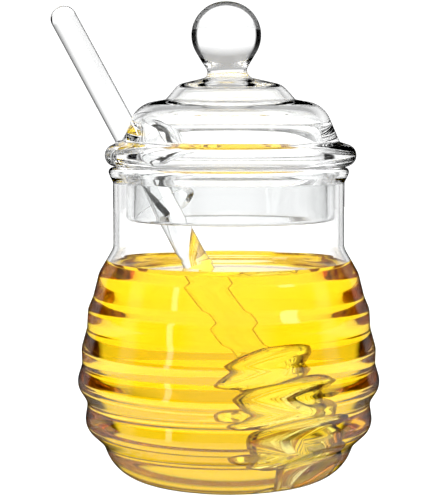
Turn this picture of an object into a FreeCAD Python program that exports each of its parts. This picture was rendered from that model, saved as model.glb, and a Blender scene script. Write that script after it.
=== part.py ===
import FreeCAD
import Part
import math
import os
import Sketcher

# Honey pot: a jar of clear glass blown in swelling rings, filled with honey, a lid with
# a ball knob, and a glass honey dipper that leans out through a tunnel in the lid.
# Millimetres, +Z up, origin at the middle of the foot on the table.  The dipper leans
# towards the back left, away from the front (-Y).

DOC = FreeCAD.newDocument("HoneyPot")

# The rings of the jar from the foot up: name, how far the glass lies inside the widest
# radius, the rise from the ring before, and the round, which is negative where the
# glass turns inward.
RINGS = (
    ("heel", 7.1, 14.2, 12.1),
    ("waist_a", 7.8, -4.9, -4.6),
    ("crest_a", 2.1, 9.6, 5.2),
    ("waist_b", 2.6, 3.9, -4.6),
    ("crest_b", 0.0, 6.9, 5.2),
    ("waist_c", 1.2, 5.3, -4.6),
    ("crest_c", 1.1, 3.4, 5.2),
    ("waist_d", 2.7, 7.0, -4.6),
    ("crest_d", 2.9, 3.4, 5.2),
    ("waist_e", 4.65, 6.1, -4.6),
    ("crest_e", 5.8, 3.3, 5.2),
    ("neck", 10.2, 10.2, -4.6),
)

# The rings of the dipper's head from its end up: name and radius.
BEADS = (
    ("bead_a", 9.75),
    ("bead_b", 12.75),
    ("bead_c", 12.75),
    ("bead_d", 11.0),
)

# Sizes in millimetres and degrees.  A dome or step size ending in _in is how far it
# lies inside the neck's outer radius, and one ending in _rise is above the lip.
SIZES = (
    ("body_radius", 42.7),
    ("foot_radius", 16.0),
    ("glass", 2.0),
    ("lip_rise", 21.3),
    ("lip_out", 1.0),
    ("lip_round", 1.7),
    ("lip_neck_round", 0.8),
    ("lip_neck_drop", 4.3),
    ("lip_edge_round", 1.2),
    ("seat_gap", 0.3),
    ("lid_shift", 0.5),
    ("collar_play", 1.2),
    ("collar_wall", 2.0),
    ("collar_drop", 14.7),
    ("collar_round", 1.0),
    ("flange_out", 2.75),
    ("flange_round", 3.1),
    ("flange_fillet", 0.6),
    ("dome_glass", 2.1),
    ("step_round", 0.8),
    ("step_low_in", 2.1),
    ("step_low_rise", 7.8),
    ("dome_low_in", 12.1),
    ("dome_low_rise", 11.2),
    ("dome_low_round", 8.05),
    ("step_high_in", 14.3),
    ("step_high_rise", 20.2),
    ("dome_high_in", 20.3),
    ("dome_high_rise", 19.3),
    ("dome_high_round", 4.25),
    ("stem_radius", 5.6),
    ("stem_round", 2.0),
    ("stem_rise", 26.8),
    ("knob_radius", 9.35),
    ("knob_rise", 36.8),
    ("axis_flat", 0.4),
    ("rod_radius", 3.85),
    ("dipper_long", 150.0),
    ("bead_round", 3.2),
    ("bead_pitch", 8.8),
    ("bead_waist", 7.75),
    ("bead_waist_round", 0.9),
    ("rod_fillet", 1.5),
    ("dipper_gap", 0.3),
    ("dipper_floor_gap", 0.5),
    ("dipper_azimuth", 151.7),
    ("dipper_aside", 3.2),
    ("dipper_reach", 19.0),
    ("tunnel_radius", 11.25),
    ("tunnel_roof", 6.5),
    ("tunnel_aside", 0.95),
    ("tunnel_rise", 5.5),
    ("tunnel_under", 12.0),
    ("tunnel_long", 110.0),
    ("tunnel_far", 60.0),
    ("honey_drop", 7.4),
    ("honey_creep", 2.3),
    ("honey_creep_round", 4.0),
    ("honey_creep_reach", 3.7),
    ("honey_film", 0.15),
)


def make_sheet():
    """Spreadsheet of the driving sizes."""
    sheet = DOC.addObject("Spreadsheet::Sheet", "Size")
    rows = list(SIZES)
    for name, inset, rise, bend in RINGS:
        rows.append((name + "_inset", inset))
        rows.append((name + "_rise", rise))
        rows.append((name + "_bend", bend))
    for name, radius in BEADS:
        rows.append((name + "_radius", radius))
    for row, (alias, value) in enumerate(rows, 1):
        sheet.set("A%d" % row, alias)
        sheet.set("B%d" % row, str(value))
        sheet.setAlias("B%d" % row, alias)
    return sheet


def derive(name, expression):
    """Add one size that follows from others."""
    FIT.addProperty("App::PropertyFloat", name)
    FIT.setExpression(name, expression)


def tangent(first, second):
    """Ends of the straight run that leaves one knot and arrives at the next."""
    reach = math.hypot(second[0] - first[0], second[1] - first[1])
    heading = math.atan2(second[1] - first[1], second[0] - first[0])
    side = heading - math.acos((first[2] - second[2]) / reach)
    return [
        FreeCAD.Vector(x + bend * math.cos(side), y + bend * math.sin(side), 0)
        for x, y, bend in (first, second)
    ]


def turns_with(before, knot, after):
    """Whether an outline turns at a knot the way that its bend says."""
    (first, second), (third, fourth) = tangent(before, knot), tangent(knot, after)
    return (second - first).cross(fourth - third).z * knot[2] > -1e-6


def taut(spots):
    """Numbers of the knots that the outline touches, as a string pulled tight does."""
    kept = list(range(len(spots)))
    slack = True
    while slack:
        slack = False
        for place, count in enumerate(kept):
            if spots[count][2] == 0:
                continue
            around = (spots[kept[place - 1]], spots[kept[(place + 1) % len(kept)]])
            if not turns_with(around[0], spots[count], around[1]):
                kept.remove(count)
                slack = True
                break
    return kept


def pin(sketch, direction, geometry, point, size):
    """Hold a point's distance from the sketch's origin at a derived size."""
    value = getattr(FIT, size)
    if abs(value) < 1e-9:
        line = -2 if direction == "DistanceX" else -1
        sketch.addConstraint(Sketcher.Constraint("PointOnObject", geometry, point, line))
        return
    ends = (-1, 1, geometry, point) if value > 0 else (geometry, point, -1, 1)
    index = sketch.addConstraint(Sketcher.Constraint(direction, *ends, abs(value)))
    sketch.renameConstraint(index, size)
    sketch.setExpression("Constraints." + size, "abs(Fit.%s)" % size)


def outline(body, role, name, knots):
    """Closed sketch of straight runs that pass tangent from knot to knot.

    A knot is three expressions: across, up and bend.  The bend is a radius that turns
    left, a negative radius that turns right, or zero at a sharp corner.
    """
    for count, knot in enumerate(knots):
        for part, expression in zip("xyb", knot):
            derive("%s_%s%d" % (name, part, count), expression)
    DOC.recompute()
    spots = [
        tuple(getattr(FIT, "%s_%s%d" % (name, part, count)) for part in "xyb")
        for count in range(len(knots))
    ]
    kept = taut(spots)
    spots = [spots[count] for count in kept]
    sketch = body.newObject("Sketcher::SketchObject", name)
    planes = [plane for plane in body.Origin.OriginFeatures if plane.Role == role]
    sketch.AttachmentSupport = [(planes[0], "")]
    sketch.MapMode = "FlatFace"
    runs = [tangent(spot, spots[(i + 1) % len(spots)]) for i, spot in enumerate(spots)]
    for start, end in runs:
        sketch.addGeometry(Part.LineSegment(start, end))
    for count, (x, y, bend) in enumerate(spots):
        before = (count - 1) % len(spots)
        across, along, round_ = ("%s_%s%d" % (name, part, kept[count]) for part in "xyb")
        if bend == 0:
            sketch.addConstraint(Sketcher.Constraint("Coincident", before, 2, count, 1))
            pin(sketch, "DistanceX", count, 1, across)
            pin(sketch, "DistanceY", count, 1, along)
            continue
        centre = FreeCAD.Vector(x, y, 0)
        angles = [
            math.atan2(point.y - y, point.x - x)
            for point in (runs[before][1], runs[count][0])
        ]
        arrive, leave = (1, 2) if bend > 0 else (2, 1)
        if bend < 0:
            angles.reverse()
        circle = Part.Circle(centre, FreeCAD.Vector(0, 0, 1), abs(bend))
        arc = sketch.addGeometry(Part.ArcOfCircle(circle, *angles))
        sketch.addConstraint(Sketcher.Constraint("Tangent", before, 2, arc, arrive))
        sketch.addConstraint(Sketcher.Constraint("Tangent", arc, leave, count, 1))
        pin(sketch, "DistanceX", arc, 3, across)
        pin(sketch, "DistanceY", arc, 3, along)
        index = sketch.addConstraint(Sketcher.Constraint("Radius", arc, abs(bend)))
        sketch.renameConstraint(index, round_)
        sketch.setExpression("Constraints." + round_, "abs(Fit.%s)" % round_)
    return sketch


def turned(name, knots):
    """Body turned about the upright axis from an outline in the XZ plane."""
    body = DOC.addObject("PartDesign::Body", name)
    sketch = outline(body, "XZ_Plane", name + "_outline", knots)
    turn = body.newObject("PartDesign::Revolution", name + "_turn")
    turn.Profile = sketch
    turn.ReferenceAxis = (sketch, ["V_Axis"])
    turn.Angle = 360.0
    DOC.recompute()
    return body


def combined(kind, name, base, tool):
    """Part::Cut or Part::Common of two objects."""
    result = DOC.addObject("Part::" + kind, name)
    result.Base = base
    result.Tool = tool
    DOC.recompute()
    return result


def ring_knots(inset):
    """Knots of the jar's rings, from the foot up, moved into the glass by inset."""
    return [
        ("Fit.%s_x" % name, "Fit.%s_z" % name, "Fit.%s_b - %s" % (name, inset))
        for name, _, _, _ in RINGS
    ]


def derive_jar():
    """Centres and bends of the rings, and the levels of neck, lip and floor.

    Two rings side by side leave room for a straight run between them only up to some
    size of round, so where rings are set closer all rounds ease off together.
    """
    names = [ring[0] for ring in RINGS]
    rooms = ["1"]
    for below, above in zip(RINGS, RINGS[1:]):
        crest, waist = (below[0], above[0]) if below[3] > 0 else (above[0], below[0])
        proud = "max(Size.%s_inset - Size.%s_inset; 0.01)" % (waist, crest)
        rounds = "(Size.%s_bend - Size.%s_bend)" % (crest, waist)
        square = "(%s ^ 2 + Size.%s_rise ^ 2)" % (proud, above[0])
        rooms.append("0.99 * %s / (2 * %s * %s)" % (square, proud, rounds))
    derive("ease", "min(%s)" % "; ".join(rooms))
    height = "0"
    for name in names:
        derive(name + "_b", "Size.%s_bend * ease" % name)
        derive(name + "_x", "Size.body_radius - Size.%s_inset - %s_b" % (name, name))
        derive(name + "_z", "%s + Size.%s_rise" % (height, name))
        height = name + "_z"
    derive("neck_radius", "neck_x + neck_b")
    derive("mouth_radius", "neck_radius - Size.glass")
    derive("lip_z", "neck_z + Size.lip_rise")
    derive("floor_z", "heel_z - heel_b + Size.glass")


def make_jar():
    """Jar: rings outside and inside, a thick floor, a straight neck and a beaded lip."""
    bead_x = "Fit.neck_radius + Size.lip_out - Size.lip_round"
    lip = [
        ("Fit.neck_radius + Size.lip_neck_round", "Fit.lip_z - Size.lip_neck_drop",
         "-Size.lip_neck_round"),
        (bead_x, "Fit.lip_z - Size.lip_round", "Size.lip_round"),
        ("Fit.mouth_radius + Size.lip_edge_round", "Fit.lip_z - Size.lip_edge_round",
         "Size.lip_edge_round"),
    ]
    inside = [(x, z, "-(%s)" % bend) for x, z, bend in ring_knots("Size.glass")[::-1]]
    foot = [("0", "0", "0"), ("Size.foot_radius", "0", "0")]
    floor = [("0", "Fit.floor_z", "0")]
    knots = foot + ring_knots("0") + lip + inside + floor
    return turned("jar", knots)


def derive_dipper():
    """Lean of the dipper, from the cavity's floor to the edge of the lip."""
    derive("tail_w", "Size.body_radius - Size.dipper_reach")
    derive("edge_w", "sqrt(mouth_radius ^ 2 - Size.dipper_aside ^ 2) + Size.lip_edge_round")
    derive("edge_z", "lip_z - Size.lip_edge_round")
    derive("edge_off", "Size.rod_radius + Size.dipper_gap + Size.lip_edge_round")
    derive("tail_turn", "Size.bead_a_radius - Size.bead_round")
    clear = "floor_z + Size.dipper_floor_gap + Size.bead_round"
    lean = "atan((edge_w + tail_w) / (edge_z - %s)) / 1deg"
    off = "asin(edge_off / sqrt((edge_w + tail_w) ^ 2 + (edge_z - %s) ^ 2)) / 1deg"
    before = "(floor_z + Size.bead_a_radius)"
    for guess in ("first", "second", "third"):
        derive("lean_" + guess, lean % before + " - " + off % before)
        derive("tail_z_" + guess, "%s + tail_turn * sin(lean_%s * 1deg)" % (clear, guess))
        before = "tail_z_" + guess
    derive("tail_z", "tail_z_third")
    derive("lean", "lean_third")


def rod_placement(along, aside="0"):
    """Placement expression of the dipper's axis, a distance along from its end.

    Local Z runs up the rod, local X outward and down, local Y square to both.
    """
    turn = "rotation(vector(0; 0; 1); Size.dipper_azimuth)"
    turn += " * rotation(vector(0; 1; 0); Fit.lean)"
    stand = "placement(vector(0; 0; Fit.tail_z); %s)" % turn
    shift = "placement(vector(-Fit.tail_w * cos(Fit.lean * 1deg); %s; %s); %s)"
    sideways = "Size.dipper_aside + %s" % aside
    sunk = "%s - Size.bead_round - Fit.tail_w * sin(Fit.lean * 1deg)" % along
    return stand + " * " + shift % (sideways, sunk, "rotation(vector(0; 0; 1); 0)")


def dipper_knots(gap):
    """Knots of the dipper about its own axis, grown by gap, from the head's end up."""
    knots = [("0", "-%s" % gap, "0")]
    up = "Size.bead_round"
    for count, (name, _) in enumerate(BEADS):
        middle = "%s + %d * Size.bead_pitch" % (up, count)
        across = "Size.%s_radius - Size.bead_round" % name
        knots.append((across, middle, "Size.bead_round + %s" % gap))
        if count < len(BEADS) - 1:
            waist = "Size.bead_waist + Size.bead_waist_round"
            between = "%s + %.1f * Size.bead_pitch" % (up, count + 0.5)
            knots.append((waist, between, "%s - Size.bead_waist_round" % gap))
    shoulder = "2 * %s + %d * Size.bead_pitch + Size.rod_fillet" % (up, len(BEADS) - 1)
    knots.append(("Size.rod_radius + Size.rod_fillet", shoulder, "%s - Size.rod_fillet" % gap))
    tip = "Size.rod_radius - Size.axis_flat"
    knots.append(("Size.axis_flat", "Size.dipper_long - %s" % tip, "%s + %s" % (tip, gap)))
    knots.append(("0", "Size.dipper_long + %s" % gap, "0"))
    return knots


def make_dipper(name, gap):
    """Dipper with a ringed head and a round rod, leaning from the floor to the lip."""
    body = turned(name, dipper_knots(gap))
    body.setExpression("Placement", rod_placement("0"))
    return body


def lid_knots():
    """Knots of the lid's outside, from the collar up to the knob."""
    collar = "Fit.mouth_radius - Size.collar_play"
    seat = "Fit.lip_z + Size.seat_gap"
    low = "Fit.lip_z - Size.collar_drop"
    return [
        ("0", low, "0"),
        (collar + " - Size.collar_round", low + " + Size.collar_round", "Size.collar_round"),
        (collar + " + Size.flange_fillet", seat + " - Size.flange_fillet",
         "-Size.flange_fillet"),
        ("Fit.neck_radius + Size.flange_out - Size.flange_round",
         seat + " + Size.flange_round", "Size.flange_round"),
        ("Fit.neck_radius - Size.step_low_in + Size.step_round",
         "Fit.lip_z + Size.step_low_rise", "-Size.step_round"),
        ("Fit.neck_radius - Size.dome_low_in", "Fit.lip_z + Size.dome_low_rise",
         "Size.dome_low_round"),
        ("Fit.neck_radius - Size.step_high_in + Size.step_round",
         "Fit.lip_z + Size.step_high_rise", "-Size.step_round"),
        ("Fit.neck_radius - Size.dome_high_in", "Fit.lip_z + Size.dome_high_rise",
         "Size.dome_high_round"),
        ("Size.stem_radius + Size.stem_round", "Fit.lip_z + Size.stem_rise",
         "-Size.stem_round"),
        ("Size.axis_flat", "Fit.lip_z + Size.knob_rise", "Size.knob_radius"),
        ("0", "Fit.lip_z + Size.knob_rise + Size.knob_radius", "0"),
    ]


def hollow_knots():
    """Knots of the space inside the lid."""
    wall = "Fit.mouth_radius - Size.collar_play - Size.collar_wall"
    low = "Fit.lip_z - Size.collar_drop - 1"
    inner = [(x, z, bend + " - Size.dome_glass") for x, z, bend in lid_knots()[5:8]]
    top = "Fit.lip_z + Size.dome_high_rise + Size.dome_high_round - Size.dome_glass"
    return [("0", low, "0"), (wall, low, "0")] + inner + [("0", top, "0")]


def make_tunnel(name, gap, start):
    """Arched bar along the rod, grown by gap: the tunnel pushed into the lid."""
    body = DOC.addObject("PartDesign::Body", name)
    radius = "Size.tunnel_radius + %s" % gap
    spine = "Size.tunnel_radius - Size.tunnel_roof"
    knots = [
        ("Size.tunnel_far", "-(%s)" % radius, "0"),
        ("Size.tunnel_far", radius, "0"),
        (spine, "0", radius),
    ]
    sketch = outline(body, "XY_Plane", name + "_section", knots)
    pad = body.newObject("PartDesign::Pad", name + "_pad")
    pad.Profile = sketch
    pad.setExpression("Length", "Size.tunnel_long")
    body.setExpression("Placement", rod_placement(start, "-Size.tunnel_aside"))
    DOC.recompute()
    return body


def make_lid():
    """Lid: stepped dome, rolled flange, collar and ball knob, with the rod's tunnel."""
    outer = turned("lid_outside", lid_knots())
    hollow = turned("lid_hollow", hollow_knots())
    for body in (outer, hollow):
        body.setExpression("Placement.Base.x", "Size.lid_shift")
    low = "Fit.lip_z - Size.collar_drop"
    rise = "(%s + %s - Fit.tail_z) / cos(Fit.lean * 1deg) + Size.bead_round"
    void = make_tunnel("tunnel", "0", rise % (low, "-Size.tunnel_under"))
    sheet = make_tunnel("tunnel_sheet", "Size.glass", rise % (low, "Size.tunnel_rise"))
    room = combined("Cut", "lid_room", hollow, sheet)
    cover = combined("Cut", "lid_cover", outer, void)
    return combined("Cut", "lid", cover, room)


def make_honey():
    """Honey up to its level, creeping up the glass, cut round the dipper."""
    inset = "(Size.glass + Size.honey_film)"
    top = "Fit.lip_z"
    fill = turned("honey_fill", [
        ("0", "Fit.floor_z + Size.honey_film", "0"),
        *ring_knots(inset),
        ("Fit.neck_radius - %s" % inset, top, "0"),
        ("0", top, "0"),
    ])
    level = "Fit.neck_z - Size.honey_drop"
    brim = level + " + Size.honey_creep"
    edge = "(Fit.neck_radius + Fit.crest_e_x + Fit.crest_e_b) / 2 - 1.15 * Size.glass"
    surface = turned("honey_surface", [
        ("0", "-1", "0"),
        ("Size.body_radius + 1", "-1", "0"),
        ("Size.body_radius + 1", brim, "0"),
        (edge, brim, "0"),
        (edge + " - Size.honey_creep_reach", level + " + Size.honey_creep_round",
         "-Size.honey_creep_round"),
        ("0", level, "0"),
    ])
    pool = combined("Common", "honey_pool", fill, surface)
    room = make_dipper("dipper_room", "Size.honey_film")
    return combined("Cut", "honey", pool, room)


SIZE = make_sheet()
DOC.recompute()
FIT = DOC.addObject("App::VarSet", "Fit")
derive_jar()
derive_dipper()
DOC.recompute()

PIECES = [make_jar(), make_dipper("dipper", "0"), make_lid(), make_honey()]
DOC.recompute()

for item in DOC.Objects:
    if "Invalid" in item.State or "Error" in item.State:
        raise RuntimeError("%s failed: %s" % (item.Name, item.State))
for piece in PIECES:
    shape = piece.Shape
    if shape.isNull() or not shape.isValid() or len(shape.Solids) != 1:
        raise RuntimeError("%s has no single valid solid" % piece.Label)

os.makedirs("parts", exist_ok=True)
for piece in PIECES:
    piece.Shape.exportStep("parts/%s.step" % piece.Label)
    box = piece.Shape.BoundBox
    print("%-7s %8.1f mm3  z %.2f to %.2f" % (piece.Label, piece.Shape.Volume, box.ZMin, box.ZMax))
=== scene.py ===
import logging
import math
from dataclasses import dataclass, replace
from enum import Enum
from typing import Sequence

import bpy
from mathutils import Matrix, Vector


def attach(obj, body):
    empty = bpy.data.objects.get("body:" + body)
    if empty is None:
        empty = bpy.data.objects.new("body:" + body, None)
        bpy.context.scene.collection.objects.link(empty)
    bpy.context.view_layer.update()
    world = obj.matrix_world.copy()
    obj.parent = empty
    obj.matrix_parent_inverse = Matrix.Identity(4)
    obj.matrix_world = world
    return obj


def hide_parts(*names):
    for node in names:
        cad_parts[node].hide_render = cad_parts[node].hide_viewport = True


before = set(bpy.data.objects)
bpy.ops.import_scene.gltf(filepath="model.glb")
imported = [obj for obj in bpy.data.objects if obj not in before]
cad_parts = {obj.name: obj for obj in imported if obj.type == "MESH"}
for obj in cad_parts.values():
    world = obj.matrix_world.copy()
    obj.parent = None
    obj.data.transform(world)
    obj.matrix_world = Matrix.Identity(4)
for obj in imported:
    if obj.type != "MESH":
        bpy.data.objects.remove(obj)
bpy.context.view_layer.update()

# A glass honey pot: jar, honey, leaning dipper and lid, each turned about its own axis.

logger = logging.getLogger("honey_pot")

MM = 0.001
SAME_SPOT = 1e-4  # millimetres within which two points of an outline are one
MERGE_REACH = 0.01  # millimetres within which the corners of a spun piece are one
WRAPPED = 1.9 * math.pi  # a bend seen as turning this far doesn't turn at all

Point = tuple[float, float]
Colour = tuple[float, float, float, float]


# --------------------------------------------------------------------------- outlines


@dataclass(frozen=True)
class Knot:
    """A post that an outline passes tangent.

    Fields are in millimetres: across from the axis, up, and the bend's radius, which is
    positive where the outline turns left, negative where it turns right, and zero at a
    sharp corner.
    """

    across: float
    up: float
    bend: float = 0.0

    def grown(self, by: float) -> "Knot":
        """The same post with its bend changed by so much, so that the outline moves."""
        return replace(self, bend=self.bend + by)

    def raised(self, by: float) -> "Knot":
        """The same post so much higher."""
        return replace(self, up=self.up + by)

    def reversed(self) -> "Knot":
        """The same post for an outline that passes it the other way."""
        return replace(self, bend=-self.bend)


def straight_run(first: Knot, second: Knot) -> tuple[Point, Point]:
    """Ends of the straight run that leaves one post and arrives at the next.

    Args:
        first: The post that the run leaves.
        second: The post that it arrives at.

    Returns:
        The two ends, across and up, in millimetres.
    """
    reach = math.hypot(second.across - first.across, second.up - first.up)
    heading = math.atan2(second.up - first.up, second.across - first.across)
    side = heading - math.acos((first.bend - second.bend) / reach)
    turn = (math.cos(side), math.sin(side))
    return (
        (first.across + first.bend * turn[0], first.up + first.bend * turn[1]),
        (second.across + second.bend * turn[0], second.up + second.bend * turn[1]),
    )


def outline_points(knots: Sequence[Knot], arc_step: float, run_step: float) -> list[Point]:
    """Points of an open outline through posts, from the first corner to the last.

    Args:
        knots: The posts in order; the first and the last are corners.
        arc_step: Most degrees from point to point round a bend.
        run_step: Most millimetres from point to point on a straight run.

    Returns:
        The points, across and up, in millimetres.
    """
    runs = [straight_run(a, b) for a, b in zip(knots, knots[1:])]
    points: list[Point] = []
    for index, (start, end) in enumerate(runs):
        knot = knots[index]
        if index and knot.bend:
            begin, finish = (
                math.atan2(p[1] - knot.up, p[0] - knot.across)
                for p in (runs[index - 1][1], start)
            )
            sweep = (finish - begin) % math.tau
            if knot.bend < 0:
                sweep -= math.tau
            if abs(sweep) > WRAPPED:
                sweep = 0.0
            count = max(1, math.ceil(abs(math.degrees(sweep)) / arc_step))
            radius = abs(knot.bend)
            for part in range(1, count):
                angle = begin + sweep * part / count
                points.append((
                    knot.across + radius * math.cos(angle),
                    knot.up + radius * math.sin(angle),
                ))
        points.append(start)
        length = math.dist(start, end)
        count = max(1, math.ceil(length / run_step))
        for part in range(1, count):
            share = part / count
            points.append(tuple(a + (b - a) * share for a, b in zip(start, end)))
        points.append(end)
    kept = [points[0]]
    for point in points[1:]:
        if math.dist(point, kept[-1]) > SAME_SPOT:
            kept.append(point)
    return kept


def select_only(piece: bpy.types.Object) -> None:
    """Make one object the active and only selected one.

    Args:
        piece: The object.
    """
    bpy.ops.object.select_all(action="DESELECT")
    piece.select_set(True)
    bpy.context.view_layer.objects.active = piece


def turned_piece(name: str, points: Sequence[Point], steps: int) -> bpy.types.Object:
    """Closed piece spun about the upright axis from an outline's points.

    Args:
        name: The new object's name.
        points: The outline, across and up, in millimetres, from axis to axis.
        steps: Faces round the axis.

    Returns:
        The new object, smooth shaded, in metres.
    """
    bpy.ops.object.select_all(action="DESELECT")
    bpy.ops.mesh.primitive_plane_add(size=MM)
    piece = bpy.context.active_object
    piece.name = name
    piece.data.name = name
    bpy.ops.object.mode_set(mode="EDIT")
    bpy.ops.mesh.merge(type="CENTER")
    bpy.ops.transform.translate(value=(points[0][0] * MM, 0.0, points[0][1] * MM))
    for before, after in zip(points, points[1:]):
        step = ((after[0] - before[0]) * MM, 0.0, (after[1] - before[1]) * MM)
        bpy.ops.mesh.extrude_vertices_move(TRANSFORM_OT_translate={"value": step})
    bpy.ops.mesh.select_all(action="SELECT")
    bpy.ops.mesh.spin(
        steps=steps, angle=math.tau, center=(0.0, 0.0, 0.0), axis=(0.0, 0.0, 1.0)
    )
    bpy.ops.mesh.select_all(action="SELECT")
    bpy.ops.mesh.remove_doubles(threshold=MERGE_REACH * MM)
    bpy.ops.mesh.normals_make_consistent(inside=False)
    bpy.ops.mesh.faces_shade_smooth()
    bpy.ops.object.mode_set(mode="OBJECT")
    return piece


def cut_away(piece: bpy.types.Object, tool: bpy.types.Object) -> None:
    """Cut a piece by a tool, and remove the tool.

    Args:
        piece: The object that is cut.
        tool: The closed object that cuts it.
    """
    select_only(piece)
    cut = piece.modifiers.new("cut", "BOOLEAN")
    cut.operation = "DIFFERENCE"
    cut.solver = "EXACT"
    cut.object = tool
    bpy.ops.object.modifier_apply(modifier=cut.name)
    bpy.data.objects.remove(tool, do_unlink=True)


# --------------------------------------------------------------------------- finishes


class Wire:
    """A shader socket with arithmetic: each operator adds its Math node."""

    def __init__(self, desk: "Desk", socket: bpy.types.NodeSocket) -> None:
        """Wrap an output socket of a desk's node tree."""
        self.desk = desk
        self.socket = socket

    def _math(self, operation: str, *values: "Wire | float") -> "Wire":
        """Add one Math node and return its result."""
        return self.desk.node("ShaderNodeMath", {"operation": operation}, *values)

    def __abs__(self) -> "Wire":
        """Size without its sign."""
        return self._math("ABSOLUTE", self)

    def __truediv__(self, other: "Wire | float") -> "Wire":
        """Quotient."""
        return self._math("DIVIDE", self, other)

    def __rtruediv__(self, other: float) -> "Wire":
        """Quotient of a number."""
        return self._math("DIVIDE", other, self)

    def turned_from(self, ahead: "Wire") -> "Wire":
        """Angle in radians from straight ahead, of a spot this far aside and so far ahead."""
        return self._math("ARCTAN2", self, ahead)


class Desk:
    """A node tree being wired."""

    def __init__(self, tree: bpy.types.NodeTree) -> None:
        """Start from an empty tree."""
        self.tree = tree
        tree.nodes.clear()

    def node(
        self,
        kind: str,
        settings: dict[str, object] | None = None,
        *values: "Wire | float | tuple",
        **named: "Wire | float | tuple",
    ) -> "Wire | None":
        """Add a node, set it up and join it.

        Args:
            kind: The node's type.
            settings: Its own settings; stops is a ramp's list of place and colour.
            values: Values or links of its inputs, by order.
            named: Values or links of its inputs, by name with _ for a space.

        Returns:
            The node's first output that is in use, or nothing where it has no output.
        """
        made = self.tree.nodes.new(kind)
        for key, value in (settings or {}).items():
            if key == "stops":
                ramp = made.color_ramp
                while len(ramp.elements) < len(value):
                    ramp.elements.new(0.5)
                for element, (place, colour) in zip(ramp.elements, value):
                    element.position = place
                    element.color = colour
            else:
                setattr(made, key, value)
        in_use = {socket.name: socket for socket in made.inputs if socket.enabled}
        joins = list(zip(made.inputs, values))
        joins += [(in_use[key.replace("_", " ")], value) for key, value in named.items()]
        for socket, value in joins:
            if isinstance(value, Wire):
                self.tree.links.new(value.socket, socket)
            else:
                socket.default_value = value
        outputs = [socket for socket in made.outputs if socket.enabled]
        return Wire(self, outputs[0]) if outputs else None

    def output(self, wire: "Wire", name: str) -> "Wire":
        """Another output of the node that a wire comes from."""
        return Wire(self, wire.socket.node.outputs[name])


def grey(level: float) -> Colour:
    """An opaque grey."""
    return (level, level, level, 1.0)


def new_material(name: str) -> tuple[bpy.types.Material, Desk]:
    """Start a node material.

    Args:
        name: The material's name.

    Returns:
        The empty material and the desk to wire it on.
    """
    material = bpy.data.materials.new(name)
    material.use_nodes = True
    return material, Desk(material.node_tree)


@dataclass(frozen=True)
class GlassFinish:
    """Clear blown borosilicate glass, very slightly uneven.

    Where it is seen edge on, the glass is painted darker, towards its painted edge shade: a
    painted shade that stands in for the dark outlines which the dim surroundings give through
    the glass. The painted shade starts at a share of the way from square on to edge on, and is
    full after its width.
    """

    name: str = "jar_glass"
    # The glass's own colour seen square on; edge on, the ramp below paints it darker.
    tint_and_painted_edge_shade: Colour = (0.985, 0.99, 0.99, 1.0)
    bending: float = 1.47
    wave_scale: float = 55.0
    wave_depth: float = 0.06 * MM
    # Painted edge shade: the colour painted where the glass is seen edge on, in place of dark
    # refracted outlines.
    painted_edge_shade: Colour = grey(0.05)
    painted_edge_shade_start: float = 0.78
    painted_edge_shade_width: float = 0.12

    def make(self) -> bpy.types.Material:
        """Wire the material.

        Returns:
            The finished material.
        """
        material, desk = new_material(self.name)
        place = desk.output(desk.node("ShaderNodeTexCoord"), "Object")
        wave = desk.node(
            "ShaderNodeTexNoise", {"noise_dimensions": "3D"},
            Vector=place, Scale=self.wave_scale, Detail=1.0,
        )
        bump = desk.node(
            "ShaderNodeBump", None, Strength=1.0, Distance=self.wave_depth, Height=wave
        )
        facing = desk.output(desk.node("ShaderNodeLayerWeight", None, 0.5), "Facing")
        # Painted shade: the ramp darkens the glass's colour towards the painted edge shade as
        # the surface turns edge on.
        tint_and_painted_edge_shade = desk.node("ShaderNodeValToRGB", {"stops": [
            (0.0, self.tint_and_painted_edge_shade), (self.painted_edge_shade_start, self.tint_and_painted_edge_shade),
            (self.painted_edge_shade_start + self.painted_edge_shade_width, self.painted_edge_shade),
        ]}, facing)
        glass = desk.node(
            "ShaderNodeBsdfPrincipled", None, Base_Color=tint_and_painted_edge_shade, Roughness=0.0,
            IOR=self.bending, Transmission_Weight=1.0, Normal=bump,
        )
        desk.node("ShaderNodeOutputMaterial", None, Surface=glass)
        return material


@dataclass(frozen=True)
class HoneyFinish:
    """Clear golden honey, which darkens with depth."""

    name: str = "golden_honey"
    bending: float = 1.49
    thickness_colour: Colour = (0.991, 0.9, 0.0, 1.0)
    thickness_density: float = 70.0

    def make(self) -> bpy.types.Material:
        """Wire the material.

        Returns:
            The finished material.
        """
        material, desk = new_material(self.name)
        honey = desk.node(
            "ShaderNodeBsdfPrincipled", None, Base_Color=grey(1.0), Roughness=0.0,
            IOR=self.bending, Transmission_Weight=1.0,
        )
        depth = desk.node(
            "ShaderNodeVolumeAbsorption", None,
            Color=self.thickness_colour, Density=self.thickness_density,
        )
        desk.node("ShaderNodeOutputMaterial", None, Surface=honey, Volume=depth)
        return material


@dataclass(frozen=True)
class FloorFinish:
    """Plain pale floor."""

    name: str = "pale_floor"
    colour: Colour = grey(0.9)
    roughness: float = 0.9

    def make(self) -> bpy.types.Material:
        """Wire the material.

        Returns:
            The finished material.
        """
        material, desk = new_material(self.name)
        paint = desk.node(
            "ShaderNodeBsdfPrincipled", None,
            Base_Color=self.colour, Roughness=self.roughness,
        )
        desk.node("ShaderNodeOutputMaterial", None, Surface=paint)
        return material


# --------------------------------------------------------------------------- the pieces


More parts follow.
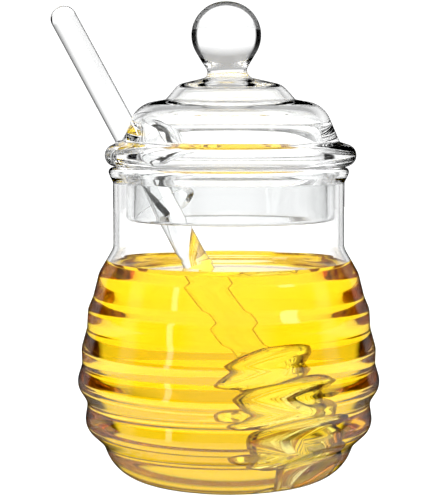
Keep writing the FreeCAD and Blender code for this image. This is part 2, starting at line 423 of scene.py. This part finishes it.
@dataclass(frozen=True)
class Rings:
    """The ringed wall, which the jar and the honey share, in millimetres."""

    heel: Knot = Knot(23.5, 14.2, 12.1)
    waists: tuple[Point, ...] = (
        (39.5, 9.3), (44.7, 22.8), (46.1, 35.0), (44.6, 45.4), (42.65, 54.9), (37.1, 68.4)
    )
    crests: tuple[Point, ...] = (
        (35.4, 18.9), (37.5, 29.7), (36.4, 38.4), (34.6, 48.8), (31.7, 58.2)
    )
    waist_bend: float = -4.6
    crest_bend: float = 5.2

    def knots(self, inset: float = 0.0) -> list[Knot]:
        """Posts of the wall, from the heel up to the foot of the neck.

        Args:
            inset: How far the outline lies inside the glass's outer face, in millimetres.

        Returns:
            The posts.
        """
        knots = [self.heel]
        for waist, crest in zip(self.waists, self.crests):
            knots.append(Knot(*waist, self.waist_bend))
            knots.append(Knot(*crest, self.crest_bend))
        knots.append(Knot(*self.waists[-1], self.waist_bend))
        return [knot.grown(-inset) for knot in knots]


@dataclass
class Jar:
    """The jar: swelling rings outside and in, a small foot and a rounded lip, in millimetres."""

    rings: Rings = Rings()
    glass: float = 1.2
    foot: float = 16.0
    floor: float = 4.1
    neck: float = 32.5
    lip: float = 89.7
    lip_out: float = 1.0
    lip_round: float = 1.7
    lip_edge: float = 1.2
    lip_deep: float = 4.3
    lip_hollow: float = 0.8
    arc_step: float = 5.0
    run_step: float = 2.0
    steps: int = 256

    def knots(self) -> list[Knot]:
        """Set out the jar's section.

        Returns:
            The posts, from under the foot round to the floor inside.
        """
        mouth = self.neck - self.glass
        inside = [knot.reversed() for knot in reversed(self.rings.knots(self.glass))]
        return [
            Knot(0.0, 0.0),
            Knot(self.foot, 0.0),
            *self.rings.knots(),
            Knot(self.neck + self.lip_hollow, self.lip - self.lip_deep, -self.lip_hollow),
            Knot(
                self.neck + self.lip_out - self.lip_round,
                self.lip - self.lip_round,
                self.lip_round,
            ),
            Knot(mouth + self.lip_edge, self.lip - self.lip_edge, self.lip_edge),
            *inside,
            Knot(0.0, self.floor),
        ]

    def build(self, finish: bpy.types.Material) -> bpy.types.Object:
        """Spin the jar and dress it.

        Args:
            finish: The glass.

        Returns:
            The jar.
        """
        points = outline_points(self.knots(), self.arc_step, self.run_step)
        piece = turned_piece("jar_glass", points, self.steps)
        piece.data.materials.append(finish)
        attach(piece, "root")
        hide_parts("jar")
        return piece


@dataclass
class Lean:
    """How the dipper leans: the frame of its axis, in degrees and millimetres."""

    azimuth: float = 151.7
    lean: float = 32.353
    tail_out: float = 23.7
    tail_up: float = 11.305
    aside: float = 3.2
    tail_along: float = 3.2

    def matrix(self) -> Matrix:
        """Work out how the dipper stands.

        Returns:
            The matrix from the dipper's own upright frame to the pot's, in millimetres.
        """
        turn = Matrix.Rotation(math.radians(self.azimuth), 4, "Z")
        tilt = Matrix.Rotation(math.radians(self.lean), 4, "Y")
        foot = turn @ Vector((-self.tail_out, self.aside, 0.0))
        foot.z = self.tail_up
        return Matrix.Translation(foot) @ turn @ tilt @ Matrix.Translation(
            (0.0, 0.0, -self.tail_along)
        )


@dataclass
class Dipper:
    """The glass dipper: a ringed head and a round rod, in millimetres."""

    lean: Lean
    rod: float = 3.85
    long: float = 150.0
    bead: float = 3.2
    pitch: float = 8.8
    radii: tuple[float, ...] = (9.75, 12.75, 12.75, 11.0)
    waist: float = 7.75
    waist_bend: float = 0.9
    shoulder_bend: float = 1.5
    tip_flat: float = 0.4
    arc_step: float = 6.0
    run_step: float = 4.0
    steps: int = 96

    def head_long(self) -> float:
        """Length of the ringed head, in millimetres."""
        return 2 * self.bead + (len(self.radii) - 1) * self.pitch

    def knots(self, gap: float) -> list[Knot]:
        """Posts of the dipper's outline, from the head's end to the rod's tip.

        Args:
            gap: How far the outline stands off the glass, in millimetres.

        Returns:
            The posts.
        """
        knots = [Knot(0.0, 0.0)]
        for count, radius in enumerate(self.radii):
            up = self.bead + count * self.pitch
            knots.append(Knot(radius - self.bead, up, self.bead))
            if count < len(self.radii) - 1:
                between = up + self.pitch / 2
                knots.append(Knot(self.waist + self.waist_bend, between, -self.waist_bend))
        shoulder = self.head_long() + self.shoulder_bend
        knots.append(Knot(self.rod + self.shoulder_bend, shoulder, -self.shoulder_bend))
        tip = self.rod - self.tip_flat
        knots.append(Knot(self.tip_flat, self.long - tip, tip))
        grown = [knot.grown(gap) for knot in knots[1:]]
        return [Knot(0.0, -gap), *grown, Knot(0.0, self.long + gap)]

    def body(self, name: str, gap: float) -> bpy.types.Object:
        """The dipper's shape, leaning in place.

        Args:
            name: The new object's name.
            gap: How far it stands off the glass, in millimetres.

        Returns:
            The new object.
        """
        points = outline_points(self.knots(gap), self.arc_step, self.run_step)
        piece = turned_piece(name, points, self.steps)
        place = self.lean.matrix()
        piece.data.transform(place.to_3x3().to_4x4())
        piece.data.transform(Matrix.Translation(place.translation * MM))
        return piece

    def build(self, rod: bpy.types.Material, head: bpy.types.Material) -> bpy.types.Object:
        """Make the dipper and dress it.

        Args:
            rod: The rod's glass.
            head: The glass of its ringed head.

        Returns:
            The dipper.
        """
        piece = self.body("dipper_glass", 0.0)
        piece.data.materials.append(rod)
        piece.data.materials.append(head)
        to_own = self.lean.matrix().inverted()
        for face in piece.data.polygons:
            if (to_own @ (face.center / MM)).z < self.head_long():
                face.material_index = 1
        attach(piece, "root")
        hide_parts("dipper")
        return piece


@dataclass
class Honey:
    """The honey: reaches just into the glass, and creeps up it at the surface.

    Sizes are in millimetres, and edges flatter than smooth_under, in degrees, are smooth.
    """

    jar: Jar
    dipper: Dipper
    into_glass: float = 0.08
    into_dipper: float = 0.05
    level: float = 61.0
    creep: float = 2.3
    creep_bend: float = 4.0
    smooth_under: float = 35.0
    arc_step: float = 5.0
    run_step: float = 2.0
    steps: int = 256

    def knots(self) -> list[Knot]:
        """Set out the honey's section.

        Returns:
            The posts, from the floor up the wall and over the surface.
        """
        wall = self.jar.rings.knots(self.jar.glass - self.into_glass)
        below, above = straight_run(wall[-2], wall[-1])
        brim = self.level + self.creep
        share = (brim - below[1]) / (above[1] - below[1])
        edge = below[0] + (above[0] - below[0]) * share
        return [
            Knot(0.0, self.jar.floor - self.into_glass),
            *wall[:-1],
            Knot(edge, brim),
            Knot(edge - self.creep_bend, self.level + self.creep_bend, -self.creep_bend),
            Knot(0.0, self.level),
        ]

    def build(self, finish: bpy.types.Material) -> bpy.types.Object:
        """Make the honey, cut it round the dipper and dress it.

        Args:
            finish: The honey's own finish.

        Returns:
            The honey.
        """
        points = outline_points(self.knots(), self.arc_step, self.run_step)
        piece = turned_piece("honey_fill", points, self.steps)
        cut_away(piece, self.dipper.body("dipper_room", -self.into_dipper))
        select_only(piece)
        bpy.ops.object.shade_smooth_by_angle(angle=math.radians(self.smooth_under))
        piece.data.materials.clear()
        piece.data.materials.append(finish)
        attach(piece, "root")
        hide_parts("honey")
        return piece


@dataclass
class Lid:
    """The lid: stepped dome, rolled flange, collar, knob, and the rod's tunnel.

    The dome's posts and every size named high or low count up from the jar's lip. The posts
    are the hollow over the flange, the shoulder, the step, the crown, the stem and the knob.
    Sizes are in millimetres.
    """

    jar: Jar
    lean: Lean
    seat_gap: float = 0.3
    shift: float = 0.5
    collar: float = 29.3
    collar_wall: float = 2.0
    collar_foot: float = 75.0
    collar_round: float = 1.0
    seat_low: float = -1.0
    seat_round: float = 0.6
    flange_round: float = 3.1
    flange_in: float = 0.35
    dome: tuple[Knot, ...] = (
        Knot(31.19, 7.8, -0.8),
        Knot(20.41, 10.4, 8.05),
        Knot(18.6, 19.7, -0.8),
        Knot(12.19, 19.3, 4.25),
        Knot(7.6, 26.8, -2.0),
        Knot(0.4, 36.8, 9.35),
    )
    dome_glass: float = 2.1
    step_low: float = 18.0
    crown_across: float = 12.0
    crown_low: float = 22.2
    tunnel: float = 11.25
    roof: float = 6.5
    aside: float = 0.95
    flank_slope: float = 5.0
    blend: float = 1.0
    blend_reach: float = 4.0
    push_reach: float = 18.0
    fine_reach: float = 13.0
    fine_margin: float = 1.5
    fine_cuts: int = 2
    tunnel_high: float = 24.0
    knob_aside: float = -1.2
    knob_bend_low: float = 20.5
    knob_bend_long: float = 9.0
    knob_glass_low: float = 28.5
    arc_step: float = 6.0
    run_step: float = 1.2
    steps: int = 192

    def outside(self) -> list[Knot]:
        """Set out the lid's outside.

        Returns:
            The posts, from the collar's foot to the knob's top.
        """
        seat = self.jar.lip + self.seat_gap
        dome = [knot.raised(self.jar.lip) for knot in self.dome]
        return [
            Knot(
                self.collar - self.collar_round,
                self.collar_foot + self.collar_round,
                self.collar_round,
            ),
            Knot(self.collar + self.seat_round, seat - self.seat_round, -self.seat_round),
            Knot(self.jar.neck - self.flange_in, seat + self.flange_round, self.flange_round),
            *dome,
            Knot(0.0, dome[-1].up + dome[-1].bend),
        ]

    def inside(self) -> list[Knot]:
        """Set out the dome's inside, one glass's thickness in.

        Returns:
            The posts, from the dome's top out to its shoulder.
        """
        shell = [
            knot.raised(self.jar.lip).grown(-self.dome_glass).reversed()
            for knot in self.dome[3:0:-1]
        ]
        return [Knot(0.0, shell[0].up - shell[0].bend), *shell]

    def pushed(self, spot: Vector, inner: bool) -> Vector:
        """Where a spot of the lid goes when the rod's tunnel is pushed in.

        Args:
            spot: The spot in the tunnel's frame: x outward and down, y aside, z along.
            inner: Whether the spot is on the lid's inner side.

        Returns:
            The spot moved towards the tunnel's roof.
        """
        radius = self.tunnel + (self.dome_glass if inner else 0.0)
        spine = self.tunnel - self.roof
        away = abs(spot.y + self.aside)
        slope = self.flank_slope
        edge = radius * slope / math.hypot(1.0, slope)
        if away < edge:
            rise = math.sqrt(radius * radius - away * away)
        else:
            rise = math.sqrt(radius * radius - edge * edge) - (away - edge) * slope
        height, ceiling = -spot.x, rise - spine
        gap = height - ceiling
        if gap > self.blend_reach * self.blend:
            return spot
        lifted = ceiling + self.blend * math.log1p(math.exp(gap / self.blend))
        return Vector((-lifted, spot.y, spot.z))

    def build(self, finish: bpy.types.Material, knob: bpy.types.Material) -> bpy.types.Object:
        """Spin the lid, push in its tunnel and dress it.

        Args:
            finish: The lid's glass.
            knob: The glass of its solid knob.

        Returns:
            The lid.
        """
        profile = [*self.inside(), *self.outside()]
        points = outline_points(profile, self.arc_step, self.run_step)
        piece = turned_piece("lid_glass", points, self.steps)
        self.subdivide_round_tunnel(piece)
        self.push_tunnel(piece)
        mesh = piece.data
        mesh.materials.append(finish)
        mesh.materials.append(knob)
        for face in mesh.polygons:
            high = face.center.z > (self.jar.lip + self.knob_glass_low) * MM
            face.material_index = int(high)
        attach(piece, "root")
        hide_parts("lid")
        return piece

    def push_tunnel(self, piece: bpy.types.Object) -> None:
        """Shift the lid on its seat, set the knob aside, and push in the tunnel.

        Args:
            piece: The lid, spun true to its axis.
        """
        to_pot = self.lean.matrix()
        to_tunnel = to_pot.inverted()
        for vertex in piece.data.vertices:
            place = vertex.co / MM
            inner = self.is_inner(place)
            place.x += self.shift + self.knob_aside * self.knob_share(place.z)
            local = to_tunnel @ place
            if local.x > -self.push_reach and place.z < self.jar.lip + self.tunnel_high:
                place = to_pot @ self.pushed(local, inner)
            vertex.co = place * MM
        piece.data.update()

    def knob_share(self, up: float) -> float:
        """Ease the knob's offset in over its stem.

        Args:
            up: A height on the pot, in millimetres.

        Returns:
            The share of the offset that the height takes, from 0 up to 1.
        """
        rise = (up - self.jar.lip - self.knob_bend_low) / self.knob_bend_long
        rise = min(1.0, max(0.0, rise))
        return rise * rise * (3.0 - 2.0 * rise)

    def is_inner(self, place: Vector) -> bool:
        """Tell the lid's inner side from its outer, before the tunnel is pushed in.

        Args:
            place: A point of the lid, in millimetres.

        Returns:
            Whether the point is on the inner side.
        """
        across = math.hypot(place.x, place.y)
        middle = self.collar - self.collar_wall / 2
        up = place.z - self.jar.lip
        if up < self.seat_low:
            return across < middle
        if across > middle:
            return False
        shoulder = self.dome[1]
        reach = math.hypot(across - shoulder.across, up - shoulder.up)
        if across > shoulder.across:
            return up < shoulder.up or reach < shoulder.bend - self.dome_glass / 2
        return up < self.step_low or (across < self.crown_across and up < self.crown_low)

    def subdivide_round_tunnel(self, piece: bpy.types.Object) -> None:
        """Give the lid finer faces where the tunnel is pushed in.

        Args:
            piece: The lid.
        """
        select_only(piece)
        to_tunnel = self.lean.matrix().inverted()
        reach = self.tunnel + self.dome_glass + self.fine_margin
        high = self.jar.lip + self.tunnel_high
        bpy.ops.object.mode_set(mode="EDIT")
        bpy.ops.mesh.select_all(action="DESELECT")
        bpy.ops.object.mode_set(mode="OBJECT")
        for face in piece.data.polygons:
            place = face.center / MM
            place.x += self.shift
            local = to_tunnel @ place
            near = abs(local.y + self.aside) < reach
            face.select = near and local.x > -self.fine_reach and place.z < high
        bpy.ops.object.mode_set(mode="EDIT")
        bpy.ops.mesh.subdivide(number_cuts=self.fine_cuts)
        bpy.ops.object.mode_set(mode="OBJECT")


# --------------------------------------------------------------------------- the studio


class Lamp(Enum):
    """The kinds of lamp in the studio, by Blender's names for them."""

    PANEL = "AREA"
    SUN = "SUN"


def hang_lamp(
    name: str, kind: Lamp, power: float, place: Vector
) -> tuple[bpy.types.Light, bpy.types.Object]:
    """Hang a new lamp.

    Args:
        name: The lamp's name.
        kind: The kind of lamp.
        power: Its power, in watts for a panel and in watts a square metre for a sun.
        place: Where it hangs, in metres.

    Returns:
        The lamp's data and its object.
    """
    lamp = bpy.data.lights.new(name, kind.value)
    lamp.energy = power
    stand = bpy.data.objects.new(name, lamp)
    stand.location = place
    bpy.context.collection.objects.link(stand)
    return lamp, stand


@dataclass(frozen=True)
class Softbox:
    """A panel lamp that faces the pot.

    Its azimuth is in degrees from the front towards the right; the rest is in metres.
    """

    name: str
    azimuth: float
    up: float
    wide: float
    high: float
    power: float
    away: float = 0.8
    aim_up: float = 0.06

    def build(self) -> None:
        """Hang the softbox and turn it to the pot."""
        angle = math.radians(self.azimuth)
        place = Vector((self.away * math.sin(angle), -self.away * math.cos(angle), self.up))
        lamp, stand = hang_lamp(self.name, Lamp.PANEL, self.power, place)
        lamp.shape = "RECTANGLE"
        lamp.size, lamp.size_y = self.wide, self.high
        aim = Vector((0.0, 0.0, self.aim_up)) - place
        stand.rotation_euler = aim.to_track_quat("-Z", "Y").to_euler()


@dataclass(frozen=True)
class FloorWash:
    """A lamp overhead that lights the floor alone, with no shadow or mirror image.

    Its sizes are in metres and its spread in degrees, and both are a panel's alone.
    """

    name: str
    kind: Lamp
    power: float
    back: float = 0.0
    up: float = 0.5
    wide: float = 0.6
    deep: float = 1.7
    spread: float = 20.0

    def build(self) -> None:
        """Hang the lamp straight above, facing down."""
        place = Vector((0.0, self.back, self.up))
        lamp, stand = hang_lamp(self.name, self.kind, self.power, place)
        lamp.use_shadow = False
        stand.visible_glossy = False
        stand.visible_transmission = False
        stand.visible_camera = False
        if self.kind is Lamp.PANEL:
            lamp.shape = "RECTANGLE"
            lamp.size, lamp.size_y = self.wide, self.deep
            lamp.spread = math.radians(self.spread)


@dataclass(frozen=True)
class Studio:
    """Pale floor, a bright backdrop, dim surroundings, and the lamps.

    The surroundings' walls end and their ceiling begins at sines of the height above the
    horizon. The floor's sizes are half widths in metres.
    """

    backdrop: float = 1.2
    gap: float = 0.0
    side: float = 0.6
    front: float = 0.35
    overhead: float = 0.5
    wall_end: float = 0.24
    ceiling_start: float = 0.46
    floor_wide: float = 0.9
    floor_deep: float = 1.3
    floor_edges: int = 96
    softboxes: tuple[Softbox, ...] = (
        Softbox("strip_left", azimuth=-47.0, up=0.15, wide=0.07, high=0.5, power=0.17),
        Softbox("box_right", azimuth=54.0, up=0.48, wide=0.22, high=0.2, power=0.24),
    )
    washes: tuple[FloorWash, ...] = (
        FloorWash("floor_even", Lamp.SUN, power=2.4),
        FloorWash("floor_band", Lamp.PANEL, power=2.4, back=0.8),
    )

    def around(self) -> list[tuple[float, Colour]]:
        """Set out the brightness round the pot.

        Returns:
            A ramp's stops, from straight behind the pot at 0 to straight in front at 1.
        """
        stops = [
            (0.0, self.backdrop), (42.0, self.backdrop), (47.0, self.gap), (80.0, self.gap),
            (86.0, self.side), (95.0, self.side), (103.0, self.gap), (140.0, self.gap),
            (155.0, self.front), (180.0, self.front),
        ]
        return [(degrees / 180.0, grey(level)) for degrees, level in stops]

    def sky(self) -> None:
        """Light all round: bright behind, dark at each side of that, dim elsewhere."""
        world = bpy.data.worlds.new("studio")
        world.use_nodes = True
        bpy.context.scene.world = world
        desk = Desk(world.node_tree)
        place = desk.output(desk.node("ShaderNodeTexCoord"), "Generated")
        split = desk.node("ShaderNodeSeparateXYZ", None, place)
        angle = abs(split).turned_from(desk.output(split, "Y"))
        around = desk.node("ShaderNodeValToRGB", {"stops": self.around()}, angle / math.pi)
        high = desk.node(
            "ShaderNodeMapRange", None,
            desk.output(split, "Z"), self.wall_end, self.ceiling_start, 0.0, 1.0,
        )
        mixed = desk.node(
            "ShaderNodeMix", {"data_type": "RGBA"},
            Factor=high, A=around, B=grey(self.overhead),
        )
        sky = desk.node("ShaderNodeBackground", None, Color=mixed, Strength=1.0)
        desk.node("ShaderNodeOutputWorld", None, Surface=sky)
        world.cycles_visibility.glossy = False

    def floor(self) -> None:
        """Lay the pale floor."""
        bpy.ops.object.select_all(action="DESELECT")
        bpy.ops.mesh.primitive_circle_add(
            vertices=self.floor_edges, radius=1.0, fill_type="NGON"
        )
        bpy.ops.transform.resize(value=(self.floor_wide, self.floor_deep, 1.0))
        bpy.ops.object.transform_apply(scale=True)
        floor = bpy.context.active_object
        floor.name = "studio_floor"
        floor.data.materials.append(FloorFinish().make())
        floor.visible_glossy = False

    def build(self) -> None:
        """Light the scene."""
        self.sky()
        self.floor()
        for lamp in (*self.softboxes, *self.washes):
            lamp.build()


@dataclass(frozen=True)
class Viewpoint:
    """The camera, in metres and degrees, with its lens in millimetres."""

    across: float = -0.00315
    back: float = 0.45
    up: float = 0.106
    tilt: float = 4.95
    lens: float = 116.36
    sensor: float = 36.0
    nearest: float = 0.01

    def build(self) -> None:
        """Place the camera and look through it."""
        camera = bpy.data.cameras.new("camera")
        camera.lens = self.lens
        camera.sensor_width = self.sensor
        camera.clip_start = self.nearest
        stand = bpy.data.objects.new("camera", camera)
        bpy.context.collection.objects.link(stand)
        stand.location = (self.across, -self.back, self.up)
        stand.rotation_euler = (math.radians(90.0 - self.tilt), 0.0, 0.0)
        bpy.context.scene.camera = stand


@dataclass(frozen=True)
class LightPaths:
    """Plain colours, and enough bounces for glass in glass."""

    bounces: int = 40
    through: int = 32
    mirrored: int = 8

    def build(self) -> None:
        """Set the scene's colours and bounces."""
        scene = bpy.context.scene
        scene.view_settings.view_transform = "Standard"
        scene.cycles.max_bounces = self.bounces
        scene.cycles.transmission_bounces = self.through
        scene.cycles.glossy_bounces = self.mirrored
        scene.cycles.use_denoising = True


def main() -> None:
    """Build the pot, dress it and light it."""
    logging.basicConfig(level=logging.INFO)
    # Each glass has its own painted edge shade: darker outlines painted where it is seen edge
    # on, in place of the shade that the surroundings give.
    jar_glass = GlassFinish()
    lid_glass = replace(jar_glass, name="lid_glass", painted_edge_shade=grey(0.5), painted_edge_shade_start=0.8)
    knob_glass = replace(jar_glass, name="knob_glass", painted_edge_shade=grey(0.03), painted_edge_shade_start=0.42)
    rod_glass = replace(jar_glass, name="rod_glass", painted_edge_shade=grey(0.12), painted_edge_shade_start=0.56)
    # The dipper's head gets a brown painted edge shade, standing in for the dark brown outlines
    # seen round it through the honey.
    head_glass = replace(
        jar_glass, name="head_glass", bending=1.2, painted_edge_shade=(0.06, 0.025, 0.0, 1.0), painted_edge_shade_start=0.5
    )
    jar = Jar()
    lean = Lean()
    dipper = Dipper(lean)
    pieces = [
        jar.build(jar_glass.make()),
        dipper.build(rod_glass.make(), head_glass.make()),
        Lid(jar, lean).build(lid_glass.make(), knob_glass.make()),
        Honey(jar, dipper).build(HoneyFinish().make()),
    ]
    for piece in pieces:
        logger.info("%s: %d faces", piece.name, len(piece.data.polygons))
    Studio().build()
    Viewpoint().build()
    LightPaths().build()


if __name__ == "__main__":
    main()
